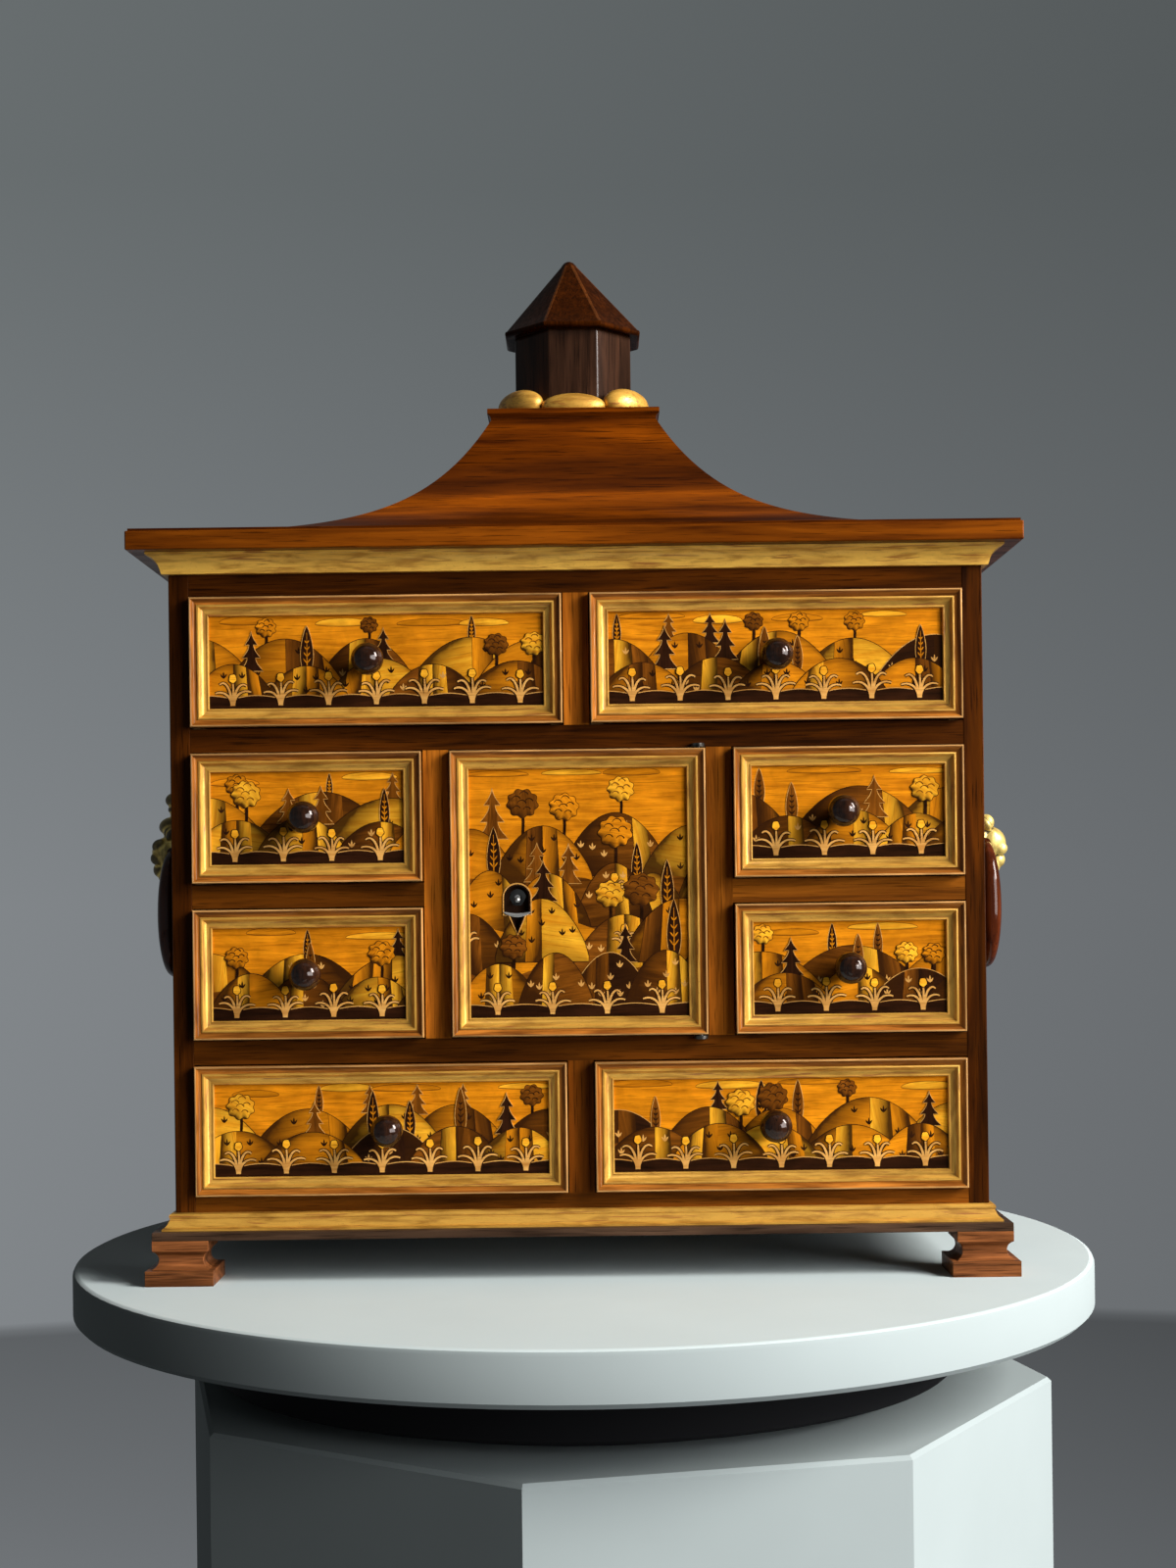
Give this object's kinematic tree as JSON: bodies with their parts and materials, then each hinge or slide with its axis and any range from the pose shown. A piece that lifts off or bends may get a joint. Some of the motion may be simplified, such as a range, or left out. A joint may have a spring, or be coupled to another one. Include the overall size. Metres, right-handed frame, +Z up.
{
  "type": "table cabinet",
  "caption": "Tabletop cabinet of drawers round a central door, with a pagoda roof, a small turret, gilt mouldings and ring handles on the sides.",
  "frame": {"origin": "under the middle of the whole cabinet's box, on the table", "axes": "+Z up, +X to the right of someone facing the drawers, +Y from the face to the back"},
  "size_m": [0.558, 0.282, 0.635],
  "materials": {
    "rosewood": "polished",
    "walnut": "polished",
    "frame_walnut": "satin",
    "gilt_wood": "worn gold leaf",
    "marquetry": "polished veneer",
    "black_wood": "black polish",
    "polished_hardwood": "polished",
    "steel": "worn",
    "plain_wood": "bare"
  },
  "bodies": {
    "case": {"base_board": "black_wood", "plinth_moulding": "gilt_wood", "front_feet": "black_wood", "back_feet": "black_wood", "bottom_blocks": "plain_wood", "side_left": "rosewood", "side_right": "rosewood", "case_bottom": "rosewood", "case_top": "rosewood", "back_panel": "plain_wood", "upper_shelf": "rosewood", "lower_shelf": "rosewood", "short_shelf_left": "rosewood", "short_shelf_right": "rosewood", "divider_top": "rosewood", "divider_bottom": "rosewood", "door_wall_left": "rosewood", "door_wall_right": "rosewood", "door_stop": "plain_wood", "cornice_moulding": "gilt_wood", "cornice_board": "walnut", "roof_panels": "walnut", "roof_cap": "walnut", "turret_body": "black_wood", "turret_roof": "walnut", "turret_eggs": "gilt_wood", "door_hinges": "steel", "handle_mount_left": "gilt_wood", "handle_mount_right": "gilt_wood"},
    "handle_left": {"handle_left": "polished_hardwood"},
    "handle_right": {"handle_right": "polished_hardwood"},
    "door": {"door_panel": "marquetry", "door_frame": "frame_walnut", "keyhole_lining": "black_wood", "lock_case": "steel"},
    "lock_bolt": {"lock_bolt": "steel"},
    "drawer_top_left": {"drawer_top_left_box": "marquetry", "drawer_top_left_frame": "frame_walnut", "drawer_top_left_knob": "polished_hardwood"},
    "drawer_top_right": {"drawer_top_right_box": "marquetry", "drawer_top_right_frame": "frame_walnut", "drawer_top_right_knob": "polished_hardwood"},
    "drawer_upper_left": {"drawer_upper_left_box": "marquetry", "drawer_upper_left_frame": "frame_walnut", "drawer_upper_left_knob": "polished_hardwood"},
    "drawer_upper_right": {"drawer_upper_right_box": "marquetry", "drawer_upper_right_frame": "frame_walnut", "drawer_upper_right_knob": "polished_hardwood"},
    "drawer_lower_left": {"drawer_lower_left_box": "marquetry", "drawer_lower_left_frame": "frame_walnut", "drawer_lower_left_knob": "polished_hardwood"},
    "drawer_lower_right": {"drawer_lower_right_box": "marquetry", "drawer_lower_right_frame": "frame_walnut", "drawer_lower_right_knob": "polished_hardwood"},
    "drawer_bottom_left": {"drawer_bottom_left_box": "marquetry", "drawer_bottom_left_frame": "frame_walnut", "drawer_bottom_left_knob": "polished_hardwood"},
    "drawer_bottom_right": {"drawer_bottom_right_box": "marquetry", "drawer_bottom_right_frame": "frame_walnut", "drawer_bottom_right_knob": "polished_hardwood"}
  },
  "joints": [
    {"name": "drawer_top_left_slide", "type": "slide", "parent": "case", "child": "drawer_top_left", "axis": [0, -1, 0], "range_m": [0, 0.19]},
    {"name": "drawer_top_right_slide", "type": "slide", "parent": "case", "child": "drawer_top_right", "axis": [0, -1, 0], "range_m": [0, 0.19]},
    {"name": "drawer_upper_left_slide", "type": "slide", "parent": "case", "child": "drawer_upper_left", "axis": [0, -1, 0], "range_m": [0, 0.19]},
    {"name": "drawer_upper_right_slide", "type": "slide", "parent": "case", "child": "drawer_upper_right", "axis": [0, -1, 0], "range_m": [0, 0.19]},
    {"name": "drawer_lower_left_slide", "type": "slide", "parent": "case", "child": "drawer_lower_left", "axis": [0, -1, 0], "range_m": [0, 0.19]},
    {"name": "drawer_lower_right_slide", "type": "slide", "parent": "case", "child": "drawer_lower_right", "axis": [0, -1, 0], "range_m": [0, 0.19]},
    {"name": "drawer_bottom_left_slide", "type": "slide", "parent": "case", "child": "drawer_bottom_left", "axis": [0, -1, 0], "range_m": [0, 0.19]},
    {"name": "drawer_bottom_right_slide", "type": "slide", "parent": "case", "child": "drawer_bottom_right", "axis": [0, -1, 0], "range_m": [0, 0.19]},
    {"name": "door_hinge", "type": "hinge", "parent": "case", "child": "door", "pos_m": [0.0712, -0.1212, 0.227], "axis": [0, 0, 1], "range_deg": [0, 95]},
    {"name": "lock_bolt_slide", "type": "slide", "parent": "door", "child": "lock_bolt", "axis": [-1, 0, 0], "range_m": [0, 0.008]},
    {"name": "handle_left_swing", "type": "hinge", "parent": "case", "child": "handle_left", "pos_m": [-0.262, 0.011, 0.256], "axis": [0, 1, 0], "range_deg": [0, 85]},
    {"name": "handle_right_swing", "type": "hinge", "parent": "case", "child": "handle_right", "pos_m": [0.262, 0.011, 0.256], "axis": [0, -1, 0], "range_deg": [0, 85]}
  ]
}
